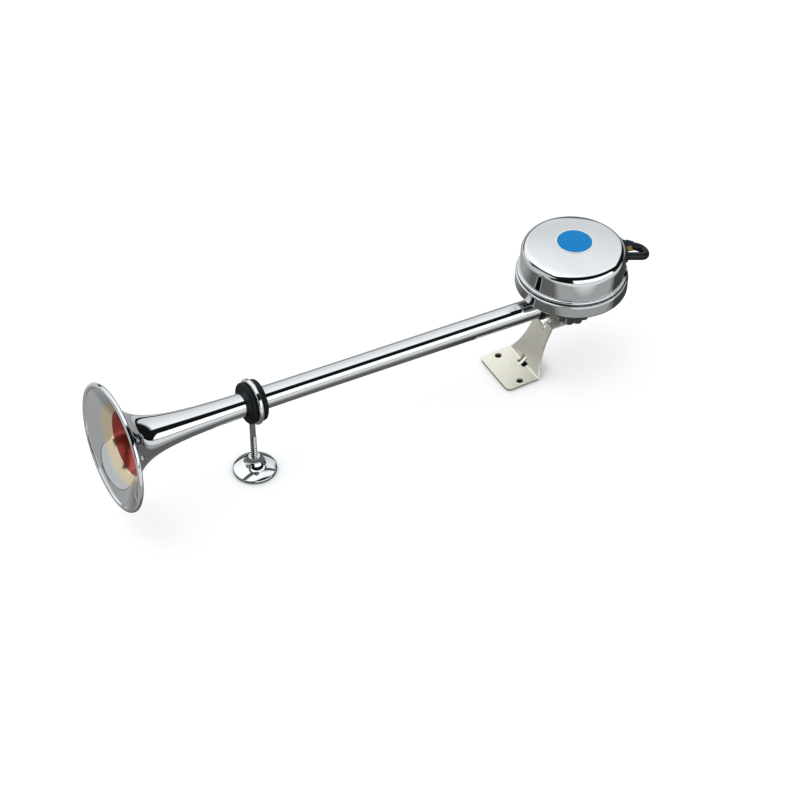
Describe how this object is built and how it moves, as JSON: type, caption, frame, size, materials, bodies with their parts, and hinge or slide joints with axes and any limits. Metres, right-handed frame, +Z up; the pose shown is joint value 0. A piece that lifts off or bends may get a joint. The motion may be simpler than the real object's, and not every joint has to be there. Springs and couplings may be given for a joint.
{
  "type": "car air horn",
  "caption": "Chromed trumpet horn for a car: long spun bell and tube, coil unit under a domed cover, folded rear bracket and a ring support with a round foot at the front.",
  "frame": {"origin": "middle of the two holes of the rear bracket, on the mounting plane that the bracket and the front foot stand on", "axes": "+Z up off the mounting plane, -X towards the bell, Y across the horn along the line of the two bracket holes"},
  "size_m": [0.5342, 0.117, 0.1479],
  "materials": {
    "chrome": "polished",
    "plated_casting": "polished",
    "satin_plate": "satin",
    "black_rubber": "satin",
    "black_sleeve": "satin",
    "gasket": "satin",
    "spring_steel": "satin",
    "drawn_steel": "satin",
    "screw_steel": "satin",
    "brass": "satin",
    "nylon": "satin",
    "bakelite": "satin",
    "copper_winding": "satin",
    "blue_label": "satin",
    "blue_crimp": "satin"
  },
  "bodies": {
    "root": {"trumpet": "chrome", "trumpet_seal": "black_rubber", "horn_body": "plated_casting", "body_gasket": "gasket", "diaphragm": "spring_steel", "frame_gasket": "gasket", "armature": "drawn_steel", "armature_washer": "screw_steel", "armature_nut": "brass", "power_frame": "drawn_steel", "flange_screws": "screw_steel", "pole_core": "drawn_steel", "lock_nut": "brass", "coil_bobbin": "nylon", "coil": "copper_winding", "contact_base": "bakelite", "contact_spring": "brass", "contact_spacer": "bakelite", "contact_arm": "brass", "spring_point": "screw_steel", "arm_point": "screw_steel", "contact_screws": "screw_steel", "cover": "chrome", "label": "blue_label", "lead": "black_sleeve", "lead_grommet": "black_rubber", "crimp_sleeve": "blue_crimp", "blade_terminal": "brass", "bracket": "satin_plate", "bracket_bolt": "screw_steel", "spring_washer": "screw_steel", "support_grommet": "black_rubber", "support_ring": "chrome", "support_foot": "chrome"}
  },
  "joints": []
}
